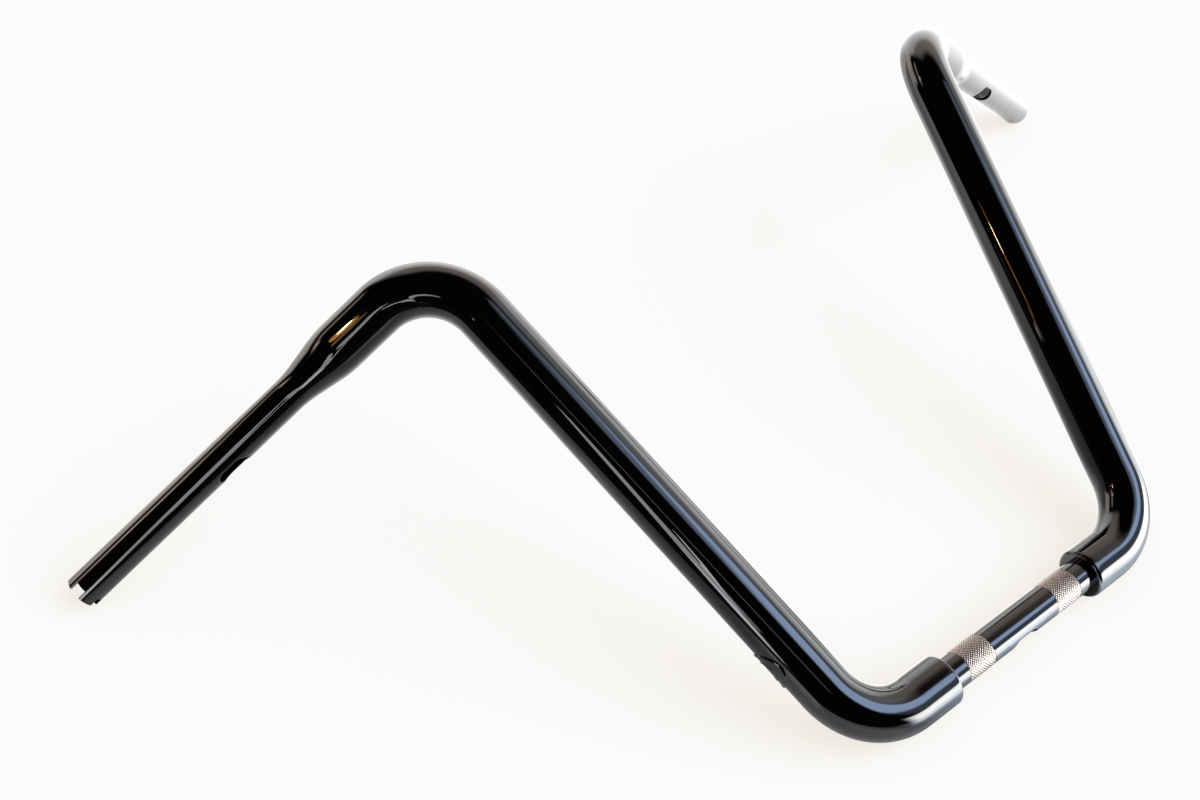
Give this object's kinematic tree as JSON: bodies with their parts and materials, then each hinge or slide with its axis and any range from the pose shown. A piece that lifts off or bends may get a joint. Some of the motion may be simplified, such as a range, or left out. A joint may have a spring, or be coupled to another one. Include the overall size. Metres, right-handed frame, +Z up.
{
  "type": "ape hanger handlebar",
  "caption": "Tall swept-back motorcycle handlebar: fat bent tubes necked down to slim grips, joined by a slim knurled clamp tube, gloss black.",
  "frame": {"origin": "middle of the clamp tube, on its axis", "axes": "+X along the clamp tube to the rider's right, +Z up from the floor that the bar lies on, +Y from the grips to the clamp tube. The floor is at z = -0.01905."},
  "size_m": [1.0256, 0.4462, 0.2144],
  "materials": {
    "gloss_black": "gloss",
    "bare_knurl": "bare knurled steel"
  },
  "bodies": {
    "root": {"clamp_tube": "gloss_black", "right_bar_tube": "gloss_black", "left_bar_tube": "gloss_black", "right_reducer_ring": "gloss_black", "left_reducer_ring": "gloss_black", "blank_badge": "gloss_black"}
  },
  "joints": []
}
